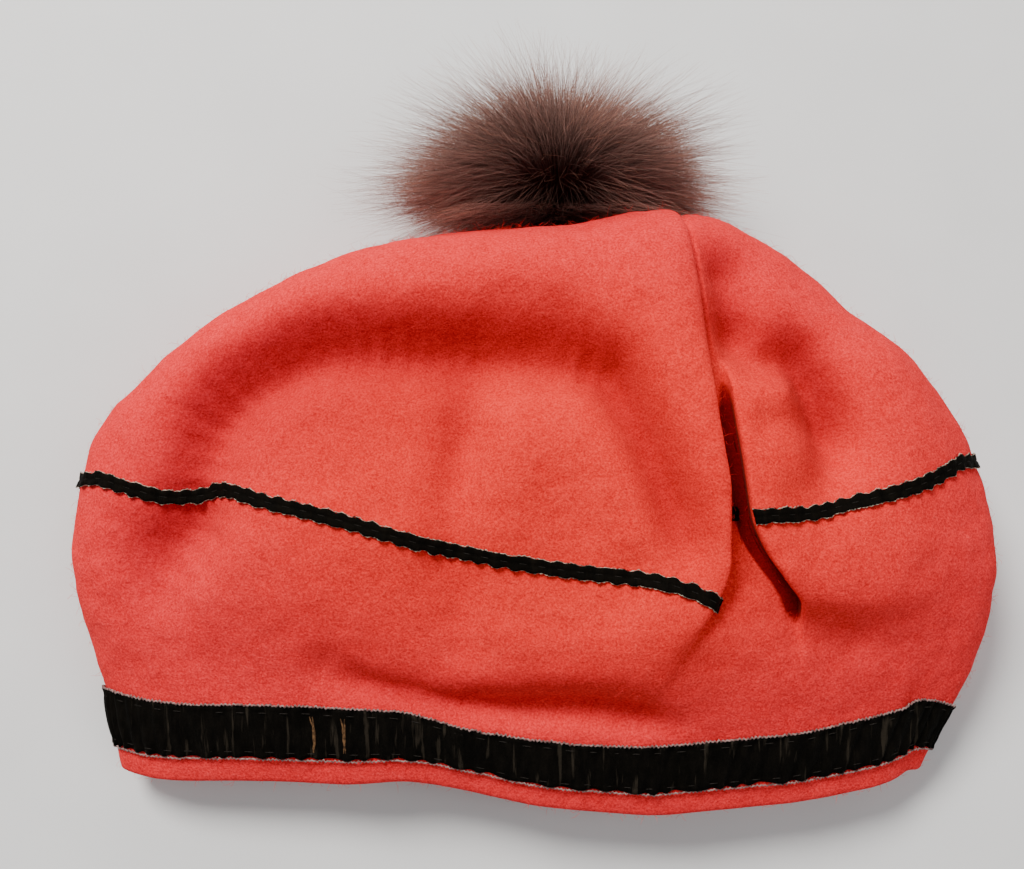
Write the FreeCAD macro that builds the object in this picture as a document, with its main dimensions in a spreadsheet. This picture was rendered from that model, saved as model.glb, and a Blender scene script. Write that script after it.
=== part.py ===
import FreeCAD, Part
import Sketcher
import math
import os

# Felted wool hat with velvet ribbons and a fur pompom, lying flat. Millimetres.
# +X runs along the brim, +Y from the brim to the crown, +Z up from the surface it lies on.
# The felt is a bag that is open at the brim. It is drawn as upright sections across Y, each one an
# oblong with round ends, and every ribbon is a ring cut to the same sections.

doc = FreeCAD.newDocument("wool_hat")
vec = FreeCAD.Vector

# ---------------------------------------------------------------- driving dimensions
sheet = doc.addObject("Spreadsheet::Sheet", "dims")
section = {  # along Y, left end, right end, underside, top
    "Brim": (-120, -104, 109, 0, 27),
    "BandLow": (-104, -127, 124, 0, 32),
    "BandHigh": (-87, -134, 132, 0, 38),
    "Cheek": (-64, -141, 142, 0, 46),
    "Waist": (-36, -145, 145, 0, 54),
    "Shoulder": (-8, -140, 140, 0, 58),
    "Dome": (22, -121, 123, 0, 59),
    "Slope": (45, -88, 101, 1, 55),
    "Rim": (57, -58, 85, 8, 47),
    "Tip": (66, -20, 66, 19, 39),
}
plain = {
    "feltThick": 3.0,
    "velvetThick": 0.9,
    "narrowThick": 0.7, "narrowWide": 6.0,
    "narrowLeftY": -19.0, "narrowRightY": -13.0,    # where it turns round the sides
    "narrowEndX": 54.0, "narrowEndY": -60.0,        # cut end, on the pleat
    "narrowTuckX": 57.0, "narrowTuckY": -32.0,      # other end, under the pleat
    "sweatThick": 0.8,
    "stitchLong": 3.0, "stitchWide": 0.6, "stitchDeep": 0.5, "stitchPitch": 6.6,
    "stitchInset": 2.0, "stitchGap": 0.1,
    "tackCount": 6, "tackPitch": 20.0, "tackX": 50.0, "tackY": 18.0, "tackGap": 0.2,
    "restTrim": 0.05,    # pressed flat where it lies
    "pivotX": 8.6, "pivotY": 64.5, "pivotZ": 29.0,  # middle of the hole that the tie cord goes through
    "cordRad": 0.9, "cordIn": 8.0, "cordOut": 3.8, "knotRad": 3.4,
    "feltHoleRad": 2.3,
    "buttonRad": 6.5, "buttonThick": 2.0, "buttonHoleRad": 2.7, "buttonGap": 0.3,
    "peltRad": 14.0, "peltThick": 1.0, "peltAway": 18.8,
    "threadRing": 4.5, "threadRad": 0.6,
    "furWide": 54.0, "furLong": 40.0, "furHigh": 37.0, "furY": 80.0, "furZ": 36.0,
    "furFloor": 0.4,
    "coneAngle": 21.0, "coneAway": 1.0, "coneReach": 80.0,  # room for the pompom to tip on its cord
    "neckRad": 7.0, "neckTop": 6.2,
}
cells = {}
for station, values in section.items():
    for kind, value in zip(("along", "left", "right", "under", "top"), values):
        cells[kind + station] = value
cells.update(plain)
for line, (alias, value) in enumerate(cells.items(), start=1):
    sheet.set("A%d" % line, alias)
    sheet.set("B%d" % line, str(value))
    sheet.setAlias("B%d" % line, alias)
doc.recompute()

stations = list(section)
parts = []  # the sub-parts, in the order they are written


def dim(alias):
    """Value of one cell of the sheet."""
    return float(sheet.get(alias))


def body(label):
    new = doc.addObject("PartDesign::Body", label)
    new.Label = label
    return new


def sketchOn(owner, name, role, offset=None):
    """Sketch on one of the owner's origin planes, moved off it by an expression."""
    sketch = owner.newObject("Sketcher::SketchObject", name)
    base = [item for item in owner.Origin.OriginFeatures if item.Role == role][0]
    sketch.AttachmentSupport = [(base, "")]
    sketch.MapMode = "FlatFace"
    if offset:
        sketch.setExpression(".AttachmentOffset.Base.z", offset)
    return sketch


def named(sketch, label, rule, formula):
    """Add a size to the sketch and bind it to the sheet."""
    index = sketch.addConstraint(rule)
    sketch.renameConstraint(index, label)
    sketch.setExpression(".Constraints." + label, formula)


def oblong(owner, tag, station, grow, under, back):
    """Section of the hat at a station, grown outwards by grow, its underside raised by under."""
    sketch = sketchOn(owner, tag + station, "XZ_Plane", "%s - dims.along%s" % (back, station))
    left, right = dim("left" + station), dim("right" + station)
    low, high = dim("under" + station), dim("top" + station)
    rad = (high - low) / 2
    mid = (high + low) / 2
    quarter = math.pi / 2
    rightEnd = Part.Circle(vec(right - rad, mid, 0), vec(0, 0, 1), rad)
    leftEnd = Part.Circle(vec(left + rad, mid, 0), vec(0, 0, 1), rad)
    sketch.addGeometry(Part.LineSegment(vec(left + rad, low, 0), vec(right - rad, low, 0)), False)
    sketch.addGeometry(Part.ArcOfCircle(rightEnd, -quarter, quarter), False)
    sketch.addGeometry(Part.LineSegment(vec(right - rad, high, 0), vec(left + rad, high, 0)), False)
    sketch.addGeometry(Part.ArcOfCircle(leftEnd, quarter, 3 * quarter), False)
    for first, second in ((0, 1), (1, 2), (2, 3), (3, 0)):
        sketch.addConstraint(Sketcher.Constraint("Tangent", first, 2, second, 1))
    sketch.addConstraint(Sketcher.Constraint("Horizontal", 0))
    sketch.addConstraint(Sketcher.Constraint("Horizontal", 2))
    lowSize = "(dims.under%s + %s)" % (station, under)
    highSize = "(dims.top%s + %s)" % (station, grow)
    half = "(%s - %s) / 2" % (highSize, lowSize)
    rule = Sketcher.Constraint
    named(sketch, "low", rule("DistanceY", -1, 1, 0, 1, low), lowSize)
    named(sketch, "high", rule("DistanceY", -1, 1, 2, 1, high), highSize)
    named(sketch, "leftCentre", rule("DistanceX", -1, 1, 3, 3, left + rad),
          "dims.left%s - %s + %s" % (station, grow, half))
    named(sketch, "rightCentre", rule("DistanceX", -1, 1, 1, 3, right - rad),
          "dims.right%s + %s - %s" % (station, grow, half))
    return sketch


def loft(owner, kind, names, grow, under, back=None):
    """Ruled loft of the owner through the named stations. back moves the crown's stations inwards."""
    tag = owner.Name + kind[0]
    crown = stations[stations.index("Slope"):]
    sketches = [oblong(owner, tag, name, grow, under, back if back and name in crown else "0")
                for name in names]
    feature = owner.newObject("PartDesign::" + kind, tag + "Loft")
    feature.Profile = sketches[0]
    feature.Sections = sketches[1:]
    feature.Ruled = True
    doc.recompute()
    return feature


def ring(label, names, outer, outerUnder, inner, innerUnder):
    """Hoop of ribbon round the hat between two stations."""
    hoop = body(label)
    loft(hoop, "AdditiveLoft", names, outer, outerUnder)
    loft(hoop, "SubtractiveLoft", names, inner, innerUnder)
    return hoop


def boolean(kind, label, base, tool):
    new = doc.addObject("Part::" + kind, label)
    new.Base = base
    new.Tool = tool
    new.Label = label
    doc.recompute()
    return new


def box(label, length, width, height, corner, turn=0.0):
    """Block bound to the sheet, its corner placed and turned about +Z."""
    new = doc.addObject("Part::Box", label)
    for side, formula in (("Length", length), ("Width", width), ("Height", height)):
        new.setExpression(side, formula)
    new.Placement = FreeCAD.Placement(corner, FreeCAD.Rotation(vec(0, 0, 1), turn))
    return new


def keep(obj, label):
    """Name a finished sub-part and list it for writing."""
    obj.Label = label
    parts.append(obj)
    return obj


def sizesAt(y):
    """Left, right, underside and top of the felt at y, between the two stations round it."""
    names = [name for name in stations if dim("along" + name) <= y]
    first = names[-1]
    second = stations[min(stations.index(first) + 1, len(stations) - 1)]
    gap = dim("along" + second) - dim("along" + first)
    part = (y - dim("along" + first)) / gap if gap else 0.0
    return [dim(kind + first) * (1 - part) + dim(kind + second) * part
            for kind in ("left", "right", "under", "top")]


def stitch(middle, along, out):
    """One running stitch: a small block whose outer face passes through middle."""
    size = vec(dim("stitchLong"), dim("stitchWide"), dim("stitchDeep"))
    block = Part.makeBox(size.x, size.y, size.z, vec(-size.x / 2, -size.y / 2, -size.z))
    turn = FreeCAD.Rotation(along, out.cross(along), out, "ZXY")
    block.Placement = FreeCAD.Placement(middle, turn)
    return block


def stitchRing(y, grow, under, proud=0.0):
    """Stitches all round the oblong section at y, flush with the surface that is grown by grow.
    Round the two ends they stand proud of it, and none straddles the start of an end."""
    left, right, low, high = sizesAt(y)
    left, right, low, high = left - grow, right + grow, low + under, high + grow
    rad = (high - low) / 2
    flat = right - left - 2 * rad
    bend = math.pi * rad
    total = 2 * (flat + bend)
    count = int(total / dim("stitchPitch"))
    blocks = []
    for number in range(count):
        way = total * number / count
        side, rest = divmod(way, flat + bend)   # side 0 is the top and the right end
        middle = vec(right - rad if side == 0 else left + rad, y, low + rad)
        sign = 1 if side == 0 else -1
        if rest < flat:
            if min(rest, flat - rest) < dim("stitchLong"):
                continue
            out = vec(0, 0, sign)
            place = middle + vec(sign * (rest - flat), 0, sign * rad)
        else:
            angle = (rest - flat) / rad
            out = vec(math.sin(angle), 0, math.cos(angle)) * sign
            place = middle + out * (rad + proud)
            if place.z < low + dim("stitchLong") / 2:
                continue
        blocks.append(stitch(place, vec(out.z, 0, -out.x), out))
    return blocks


def stitchRun(start, end, grow, under):
    """Stitches in a straight run over the flat of the hat, from one side towards the other."""
    run = end - start
    count = int(run.Length / dim("stitchPitch"))
    blocks = []
    for number in range(count):
        place = start + run * ((number + 0.5) / count)
        left, right, low, high = sizesAt(place.y)
        rad = (high - low) / 2
        if left + rad < place.x < right - rad:
            place.z = low + under if grow is None else high + grow
            out = vec(0, 0, -1 if grow is None else 1)
            blocks.append(stitch(place, vec(run).normalize(), out))
    return blocks


def group(label, blocks):
    """Node of many separate small solids."""
    new = doc.addObject("Part::Feature", label)
    new.Shape = Part.makeCompound(blocks)
    new.Placement = FreeCAD.Placement()
    return keep(new, label)


# ---------------------------------------------------------------- the wide ribbon round the brim
bandLow, bandHigh = dim("alongBandLow"), dim("alongBandHigh")
inset, velvet = dim("stitchInset"), dim("velvetThick")
hoop = ring("band_hoop", ["BandLow", "BandHigh"], "dims.velvetThick", "0", "0", "dims.velvetThick")
proud = dim("stitchDeep") + dim("stitchGap")
lower = group("band_lower_stitches", stitchRing(bandLow + inset, velvet, 0.0, proud))
upper = group("band_upper_stitches", stitchRing(bandHigh - inset, velvet, 0.0, proud))
bored = boolean("Cut", "band_lower_bored", hoop, lower)
keep(boolean("Cut", "wide_velvet_band", bored, upper), "wide_velvet_band")

# ---------------------------------------------------------------- the narrow ribbon round the crown
shell = ring("narrow_shell", ["Cheek", "Waist", "Shoulder"],
             "dims.narrowThick", "0", "0", "dims.narrowThick")
reach = dim("rightWaist") + 10
leftTurn = vec(-reach, dim("narrowLeftY"), 0)
rightTurn = vec(reach, dim("narrowRightY"), 0)
cutEnd = vec(dim("narrowEndX"), dim("narrowEndY"), 0)
tuckEnd = vec(dim("narrowTuckX"), dim("narrowTuckY"), 0)
middle = dim("topShoulder") / 2
cell = "dims.narrowWide"


def run(label, start, end, low, height):
    """Straight block along one run of the narrow ribbon."""
    way = end - start
    side = vec(way.y, -way.x, 0).normalize() * (dim("narrowWide") / 2)
    turn = math.degrees(math.atan2(way.y, way.x))
    return box(label, "%.3f" % way.Length, cell, height, start + side + vec(0, 0, low), turn)


overLeft = run("over_left", leftTurn, cutEnd, middle - 3, "dims.topDome")
overRight = run("over_right", tuckEnd, rightTurn, middle - 3, "dims.topDome")
below = run("below", leftTurn, rightTurn, -1, "dims.topShoulder / 2")
route = doc.addObject("Part::MultiFuse", "narrow_route")
route.Shapes = [overLeft, overRight, below]
doc.recompute()
strip = boolean("Common", "narrow_strip", shell, route)
thin = dim("narrowThick")
narrowStitches = group("narrow_ribbon_stitches",
                       stitchRun(leftTurn, cutEnd, thin, 0) + stitchRun(tuckEnd, rightTurn, thin, 0)
                       + stitchRun(leftTurn, rightTurn, None, 0))
keep(boolean("Cut", "narrow_velvet_ribbon", strip, narrowStitches), "narrow_velvet_ribbon")

# ---------------------------------------------------------------- the felt bag
bag = body("felt_bag")
loft(bag, "AdditiveLoft", stations, "0", "0")
loft(bag, "SubtractiveLoft", stations, "-dims.feltThick", "dims.feltThick", "dims.feltThick")
eye = sketchOn(bag, "cord_eye", "XZ_Plane", "-dims.alongTip")
eye.addGeometry(Part.Circle(vec(dim("pivotX"), dim("pivotZ"), 0), vec(0, 0, 1), dim("feltHoleRad")), False)
named(eye, "bore", Sketcher.Constraint("Radius", 0, dim("feltHoleRad")), "dims.feltHoleRad")
named(eye, "across", Sketcher.Constraint("DistanceX", -1, 1, 0, 3, dim("pivotX")), "dims.pivotX")
named(eye, "height", Sketcher.Constraint("DistanceY", -1, 1, 0, 3, dim("pivotZ")), "dims.pivotZ")
before = bag.Shape.Volume
drill = bag.newObject("PartDesign::Pocket", "cord_hole")
drill.Profile = eye
drill.setExpression("Length", "dims.feltThick + 1")
drill.Reversed = True
doc.recompute()
if not bag.Shape.Volume < before:
    raise RuntimeError("the cord hole cuts nothing")
grooved = boolean("Cut", "bag_grooved", bag, hoop)
crossed = boolean("Cut", "bag_crossed", grooved, strip)
underneath = box("underneath", "3 * dims.rightWaist", "3 * dims.rightWaist", "dims.restTrim + 5",
                 vec(-1.5 * dim("rightWaist"), -1.5 * dim("rightWaist"), -5))
keep(boolean("Cut", "felt_body", crossed, underneath), "felt_body")

# ---------------------------------------------------------------- the ribbon inside the brim
inner = "-(dims.feltThick + dims.sweatThick)"
lining = ring("sweatband_hoop", ["Brim", "BandLow", "BandHigh"], "-dims.feltThick", "dims.feltThick",
              inner, "(dims.feltThick + dims.sweatThick)")
depth = dim("feltThick") + dim("sweatThick") - dim("stitchDeep")
sewn = group("sweatband_stitches", stitchRing(bandHigh - inset, -depth, depth))
keep(boolean("Cut", "sweatband", lining, sewn), "sweatband")

# ---------------------------------------------------------------- stitches that hold the pleat
tacks = []
for number in range(int(dim("tackCount"))):
    y = dim("tackY") - number * dim("tackPitch")
    high = sizesAt(y)[3] - dim("feltThick") - dim("tackGap")
    tacks.append(stitch(vec(dim("tackX"), y, high), vec(1, 0, 0), vec(0, 0, 1)))
group("pleat_tack_stitches", tacks)

# ---------------------------------------------------------------- what holds the pompom
pivot = vec(dim("pivotX"), dim("pivotY"), dim("pivotZ"))
towardsCrown = FreeCAD.Rotation(vec(1, 0, 0), -90)  # turns an object's own +Z to +Y


def rod(label, radius, height, start):
    """Cylinder along +Y whose near end is start past the pivot."""
    new = doc.addObject("Part::Cylinder", label)
    new.setExpression("Radius", radius)
    new.setExpression("Height", height)
    new.Placement = FreeCAD.Placement(pivot + vec(0, start, 0), towardsCrown)
    return new


def ball(label, radius, away):
    """Ball on the tie cord's line, away past the pivot."""
    new = doc.addObject("Part::Sphere", label)
    new.setExpression("Radius", radius)
    new.Placement = FreeCAD.Placement(pivot + vec(0, away, 0), FreeCAD.Rotation())
    return new


buttonStart = -(dim("feltThick") / 2 + dim("buttonGap") + dim("buttonThick"))
disc = rod("button_disc", "dims.buttonRad", "dims.buttonThick", buttonStart)
bore = rod("button_bore", "dims.buttonHoleRad", "dims.buttonThick", buttonStart)
keep(boolean("Cut", "pompom_button", disc, bore), "pompom_button")
cord = rod("cord_straight", "dims.cordRad", "dims.cordIn + dims.cordOut", -dim("cordIn"))
knot = ball("cord_knot", "dims.knotRad", -dim("cordIn"))
keep(boolean("Fuse", "pompom_tie_cord", knot, cord), "pompom_tie_cord")

# ---------------------------------------------------------------- the pompom
peltAway = dim("peltAway")
peltBall = ball("pelt_ball", "dims.peltRad", peltAway)
stuffing = keep(ball("pompom_stuffing", "dims.peltRad - dims.peltThick", peltAway), "pompom_stuffing")
keep(boolean("Cut", "pompom_pelt", peltBall, stuffing), "pompom_pelt")
thread = doc.addObject("Part::Torus", "pompom_gather_thread")
thread.setExpression("Radius1", "dims.threadRing")
thread.setExpression("Radius2", "dims.threadRad")
peltFoot = peltAway - math.sqrt(dim("peltRad") ** 2 - dim("threadRing") ** 2)
thread.Placement = FreeCAD.Placement(pivot + vec(0, peltFoot - 1.2 * dim("threadRad"), 0), towardsCrown)
keep(thread, "pompom_gather_thread")

furBall = doc.addObject("Part::Ellipsoid", "fur_ball")
furBall.setExpression("Radius1", "dims.furHigh")
furBall.setExpression("Radius2", "dims.furWide")
furBall.setExpression("Radius3", "dims.furLong")
furBall.Placement.Base = vec(dim("pivotX"), dim("furY"), dim("furZ"))
tipping = body("fur_clearance")
profile = sketchOn(tipping, "clearance_profile", "XY_Plane", "dims.pivotZ")
profile.setExpression(".AttachmentOffset.Base.x", "dims.pivotX")
crownFace = dim("alongTip")
slope = math.tan(math.radians(dim("coneAngle")))
neck, far = dim("neckRad"), dim("coneReach")
coneFoot = crownFace + dim("coneAway")
corners = [vec(0, 0, 0), vec(far, 0, 0), vec(far, coneFoot + far * slope, 0),
           vec(neck, coneFoot + neck * slope, 0), vec(neck, crownFace + dim("neckTop"), 0),
           vec(0, crownFace + dim("neckTop"), 0)]
for number, corner in enumerate(corners):
    nextCorner = corners[(number + 1) % len(corners)]
    profile.addGeometry(Part.LineSegment(corner, nextCorner), False)
for number in range(len(corners)):
    following = (number + 1) % len(corners)
    profile.addConstraint(Sketcher.Constraint("Coincident", number, 2, following, 1))
turned = tipping.newObject("PartDesign::Revolution", "clearance_turned")
turned.Profile = profile
turned.ReferenceAxis = (profile, ["V_Axis"])
turned.Angle = 360
doc.recompute()
floor = box("fur_floor", "4 * dims.furWide", "4 * dims.furLong", "50",
            vec(dim("pivotX") - 2 * dim("furWide"), 0, dim("furFloor") - 50))
tipped = boolean("Cut", "fur_tipped", furBall, tipping)
flat = boolean("Cut", "fur_flat", tipped, floor)
keep(boolean("Cut", "pompom_fur", flat, peltBall), "pompom_fur")

# ---------------------------------------------------------------- check and write
doc.recompute()
for item in doc.Objects:
    if "Invalid" in item.State or "Error" in item.State:
        raise RuntimeError("%s failed: %s" % (item.Label, item.State))
for item in parts:
    if item.Shape.isNull() or not item.Shape.isValid():
        raise RuntimeError("%s has no valid shape" % item.Label)
os.makedirs("parts", exist_ok=True)
for item in parts:
    item.Shape.exportStep("parts/%s.step" % item.Label)
    box3 = item.Shape.optimalBoundingBox(False, False)
    print("%-24s %4d solids %9.1f mm3  x %.1f..%.1f y %.1f..%.1f z %.1f..%.1f" % (
        item.Label, len(item.Shape.Solids), item.Shape.Volume,
        box3.XMin, box3.XMax, box3.YMin, box3.YMax, box3.ZMin, box3.ZMax))
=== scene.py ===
import math
import bpy
import bmesh
import numpy as np
from mathutils import Euler, Matrix, Vector, noise
from mathutils.bvhtree import BVHTree


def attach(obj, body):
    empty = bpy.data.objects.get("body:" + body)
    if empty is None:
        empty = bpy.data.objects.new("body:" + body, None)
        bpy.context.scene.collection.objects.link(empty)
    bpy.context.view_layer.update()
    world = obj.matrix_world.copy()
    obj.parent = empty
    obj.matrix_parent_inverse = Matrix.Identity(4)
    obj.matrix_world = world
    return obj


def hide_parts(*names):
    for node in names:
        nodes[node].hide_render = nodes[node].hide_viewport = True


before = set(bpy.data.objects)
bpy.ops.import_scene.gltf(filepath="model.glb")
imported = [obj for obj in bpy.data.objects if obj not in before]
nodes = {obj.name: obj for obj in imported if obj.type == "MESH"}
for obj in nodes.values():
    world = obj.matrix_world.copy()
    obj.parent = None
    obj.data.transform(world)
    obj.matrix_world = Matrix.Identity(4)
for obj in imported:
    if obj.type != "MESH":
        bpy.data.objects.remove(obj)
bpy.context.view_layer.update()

# A felted wool hat lying flat, with velvet ribbons, a lapped pleat and a fur pompom.
# Sizes are in millimetres in the hat's own frame: +X along the brim, +Y to the crown, +Z up.
mm = 0.001
rng = np.random.default_rng(7)
turn = 2 * math.pi


# small helpers

def smooth(low, high, value):
    t = np.clip((value - low) / (high - low), 0, 1)
    return t * t * (3 - 2 * t)


def curveThrough(knots, values, where):
    # monotone cubic through the knots
    knots, values = np.array(knots, float), np.array(values, float)
    step = np.diff(knots)
    slope = np.diff(values) / step
    before, after = slope[:-1], slope[1:]
    same = before * after > 0
    firstShare, lastShare = 2 * step[1:] + step[:-1], step[1:] + 2 * step[:-1]
    mean = (firstShare + lastShare) / (firstShare / np.where(same, before, 1)
                                       + lastShare / np.where(same, after, 1))
    tangent = np.concatenate([slope[:1], np.where(same, mean, 0), slope[-1:]])
    where = np.clip(where, knots[0], knots[-1])
    i = np.clip(np.searchsorted(knots, where) - 1, 0, len(knots) - 2)
    t = (where - knots[i]) / step[i]
    return ((1 + 2 * t) * (1 - t) ** 2 * values[i] + t * (1 - t) ** 2 * step[i] * tangent[i]
            + t * t * (3 - 2 * t) * values[i + 1] + t * t * (t - 1) * step[i] * tangent[i + 1])


def splineThrough(points, count):
    # the points as a smooth line of count places
    points = np.array(points, float)
    way = np.concatenate([[0], np.cumsum(np.linalg.norm(np.diff(points[:, :2], axis=0), axis=1))])
    where = np.linspace(0, way[-1], count)
    return np.stack([curveThrough(way, points[:, k], where) for k in range(points.shape[1])], axis=1)


def noiseOn(points, size, seed=0.0):
    # smooth noise from -1 to 1, of the given grain in millimetres
    flat = np.asarray(points).reshape(-1, 3) / size + seed
    values = [noise.noise(p) for p in flat.tolist()]
    return np.array(values).reshape(np.asarray(points).shape[:-1]) * 1.6


def unit(vectors):
    return vectors / np.maximum(np.linalg.norm(vectors, axis=-1, keepdims=True), 1e-12)


def newPiece(name, mesh, material, body="root"):
    piece = bpy.data.objects.new(name, mesh)
    bpy.context.scene.collection.objects.link(piece)
    mesh.materials.clear()
    mesh.materials.append(material)
    for face in mesh.polygons:
        face.use_smooth = True
    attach(piece, body)
    return piece


def finished(bm, name, weld=0.0):
    # bmesh to mesh, welded, with its faces outwards
    if weld:
        bmesh.ops.remove_doubles(bm, verts=bm.verts, dist=weld * mm)
    bmesh.ops.recalc_face_normals(bm, faces=bm.faces)
    mesh = bpy.data.meshes.new(name)
    bm.to_mesh(mesh)
    bm.free()
    return mesh


def gridPiece(name, columns, rows, place, material, body="root", weld=0.01):
    # a grid whose corner (u, v), each 0 to 1, goes to place(u, v)
    bm = bmesh.new()
    bmesh.ops.create_grid(bm, x_segments=columns, y_segments=rows, size=0.5)
    corners = np.array([v.co for v in bm.verts])
    spots = place(corners[:, 0] + 0.5, corners[:, 1] + 0.5) * mm
    for v, spot in zip(bm.verts, spots.tolist()):
        v.co = spot
    return newPiece(name, finished(bm, name, weld), material, body)


def thicken(piece, thickness, offset=-1.0):
    solid = piece.modifiers.new("thickness", "SOLIDIFY")
    solid.thickness = thickness * mm
    solid.offset = offset
    return piece


def applyModifiers(piece):
    seen = bpy.context.evaluated_depsgraph_get()
    baked = bpy.data.meshes.new_from_object(piece.evaluated_get(seen))
    piece.modifiers.clear()
    piece.data = baked
    return piece


def strands(name, lines, radii, material, body="root", sides=0):
    # many thin hairs as one mesh; lines is hairs x points x 3, radii is hairs x points
    curve = bpy.data.curves.new(name, "CURVE")
    curve.dimensions = "3D"
    curve.bevel_depth = mm
    curve.bevel_resolution = sides
    count = lines.shape[1]
    for line, radius in zip(lines, radii):
        spline = curve.splines.new("POLY")
        spline.points.add(count - 1)
        spline.points.foreach_set("co", np.c_[line * mm, np.ones(count)].ravel())
        spline.points.foreach_set("radius", radius)
    holder = bpy.data.objects.new(name + ".line", curve)
    bpy.context.scene.collection.objects.link(holder)
    seen = bpy.context.evaluated_depsgraph_get()
    mesh = bpy.data.meshes.new_from_object(holder.evaluated_get(seen))
    mesh.name = name
    bpy.data.objects.remove(holder)
    return newPiece(name, mesh, material, body)


def paint(piece, hues, points):
    # a colour for every point of every hair, spread over the hair's ring of corners
    mesh = piece.data
    ring = len(mesh.vertices) // (hues.shape[0] * points)
    flat = np.repeat(hues.reshape(-1, 3), ring, axis=0)
    layer = mesh.color_attributes.new("tone", "FLOAT_COLOR", "POINT")
    layer.data.foreach_set("color", np.c_[flat, np.ones(len(flat))].ravel())


# materials

def newMaterial(name, **sockets):
    material = bpy.data.materials.new(name)
    material.use_nodes = True
    shader = material.node_tree.nodes["Principled BSDF"]
    for key, value in sockets.items():
        shader.inputs[key.replace("_", " ")].default_value = value
    return material, material.node_tree.nodes, material.node_tree.links, shader


def grain(tree, links, size, stretch=(1, 1, 1), detail=3.0, rough=0.55, source="Object"):
    # noise of the given size in millimetres
    place = tree.new("ShaderNodeTexCoord")
    mapping = tree.new("ShaderNodeMapping")
    mapping.inputs["Scale"].default_value = [s / (size * mm) for s in stretch]
    speck = tree.new("ShaderNodeTexNoise")
    speck.inputs["Scale"].default_value = 1.0
    speck.inputs["Detail"].default_value = detail
    speck.inputs["Roughness"].default_value = rough
    links.new(place.outputs[source], mapping.inputs["Vector"])
    links.new(mapping.outputs["Vector"], speck.inputs["Vector"])
    return speck.outputs["Fac"]


def ramp(tree, links, value, stops):
    colours = tree.new("ShaderNodeValToRGB")
    marks = colours.color_ramp.elements
    while len(marks) < len(stops):
        marks.new(0.5)
    for mark, (spot, colour) in zip(marks, stops):
        mark.position = spot
        mark.color = (*colour, 1)
    links.new(value, colours.inputs["Fac"])
    return colours.outputs["Color"]


def blendColours(tree, links, share, first, second, kind="MIX"):
    mix = tree.new("ShaderNodeMix")
    mix.data_type = "RGBA"
    mix.blend_type = kind
    if isinstance(share, float):
        mix.inputs["Factor"].default_value = share
    else:
        links.new(share, mix.inputs["Factor"])
    links.new(first, mix.inputs[6])
    links.new(second, mix.inputs[7])
    return mix.outputs[2]


def bumps(tree, links, shader, layers):
    # layers of (height, depth in millimetres)
    normal = None
    for height, depth in layers:
        bump = tree.new("ShaderNodeBump")
        bump.inputs["Distance"].default_value = depth * mm
        bump.inputs["Strength"].default_value = 1.0
        links.new(height, bump.inputs["Height"])
        if normal:
            links.new(normal, bump.inputs["Normal"])
        normal = bump.outputs["Normal"]
    links.new(normal, shader.inputs["Normal"])


feltLook = {
    "light": (0.88, 0.037, 0.037), "middle": (0.75, 0.018, 0.020), "dark": (0.38, 0.005, 0.007),
    "matGrain": 5.0, "fibreGrain": 0.68, "fineGrain": 0.40, "pale": (0.95, 0.12, 0.10),
    # the tone attribute's red channel paints light on the fold crests and shade in the fold valleys, its
    # blue channel paints shade in the slit
    "paintedShade": (  # what each channel of the tone attribute multiplies the wool's colour by
        ("Red", [(0.0, (0.64, 0.46, 0.62)), (0.5, (1, 1, 1)), (1.0, (1.0, 1.12, 1.0))]),
        ("Green", [(0.0, (1, 0.94, 0.72)), (1.0, (1, 0.96, 1.12))]),
        ("Blue", [(0.0, (1, 1, 1)), (1.0, (0.22, 0.08, 0.11))]),
    ),
}


def feltFinish(name="feltedWool", shadePainted=False):
    material, tree, links, shader = newMaterial(
        name, Roughness=0.95, Sheen_Weight=0.07, Sheen_Roughness=0.5,
        Sheen_Tint=(1.0, 0.25, 0.20, 1), Specular_IOR_Level=0.05)
    cloud = grain(tree, links, feltLook["matGrain"], detail=5, rough=0.65)
    fibre = grain(tree, links, feltLook["fibreGrain"], (1, 1, 1), 4, 0.7)
    fine = grain(tree, links, feltLook["fineGrain"], detail=2, rough=0.8)
    wide = ramp(tree, links, cloud, [(0.32, feltLook["middle"]), (0.68, feltLook["light"])])
    close = ramp(tree, links, fibre, [(0.38, feltLook["dark"]), (0.57, feltLook["light"]),
                                      (0.76, feltLook["pale"])])
    shader.inputs["Base Color"].default_value = (*feltLook["middle"], 1)
    colour = blendColours(tree, links, 0.5, wide, close)
    # painted shade and light from the tone attribute: darker fold valleys and slit, lighter crests
    if shadePainted:
        paintedShadeLayer = tree.new("ShaderNodeAttribute")
        paintedShadeLayer.attribute_name = "tone"
        parts = tree.new("ShaderNodeSeparateColor")
        links.new(paintedShadeLayer.outputs["Color"], parts.inputs["Color"])
        for part, stops in feltLook["paintedShade"]:
            paintedShade = ramp(tree, links, parts.outputs[part], stops)
            colour = blendColours(tree, links, 1.0, colour, paintedShade, "MULTIPLY")
    links.new(colour, shader.inputs["Base Color"])
    bumps(tree, links, shader, [(cloud, 0.7), (fibre, 0.28), (fine, 0.14)])
    return material


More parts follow.
